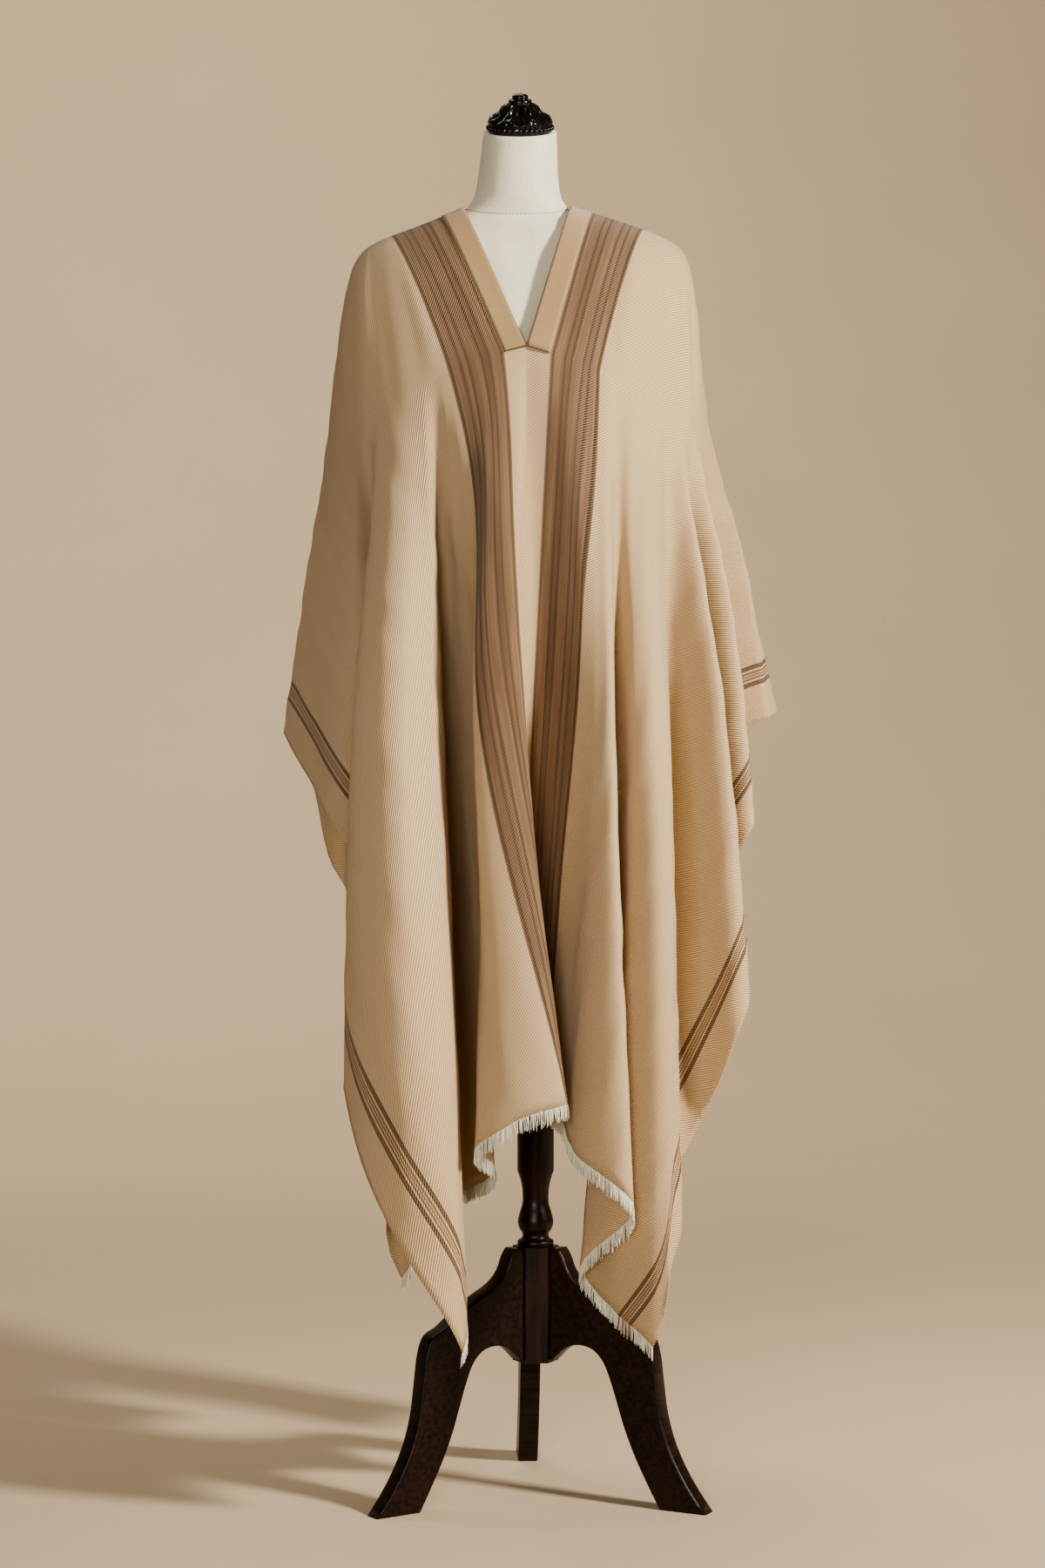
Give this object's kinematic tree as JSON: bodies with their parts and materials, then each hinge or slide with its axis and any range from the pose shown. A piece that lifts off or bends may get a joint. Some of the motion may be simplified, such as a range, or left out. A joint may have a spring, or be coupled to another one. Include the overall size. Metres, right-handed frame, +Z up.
{
  "type": "fringed woven poncho on a dress form with a neck cap and a three-legged stand",
  "caption": "Wide woven poncho with a striped band, side stripes and fringed ends, hanging in folds from a limbless dress form on a three-legged wooden stand.",
  "frame": {"origin": "on the floor, under the middle of the whole object's box", "axes": "+Z up, -Y towards the front of the poncho, +X to the right seen from in front"},
  "size_m": [0.6495, 0.6217, 1.7602],
  "materials": {
    "twill": "cream wool twill with brown stripes",
    "facing": "plain cream wool twill",
    "fringe": "off-white warp ends",
    "linen": "off-white linen over a firm form",
    "ebony": "glossy black",
    "mahogany": "dark semi-gloss"
  },
  "bodies": {
    "root": {"poncho_cloth": "twill", "facing_left": "facing", "facing_right": "facing", "fringe_front": "fringe", "fringe_back": "fringe", "dress_form": "linen", "neck_cap": "ebony", "pole": "mahogany", "hub": "mahogany", "leg_left": "mahogany", "leg_right": "mahogany", "leg_back": "mahogany"}
  },
  "joints": []
}
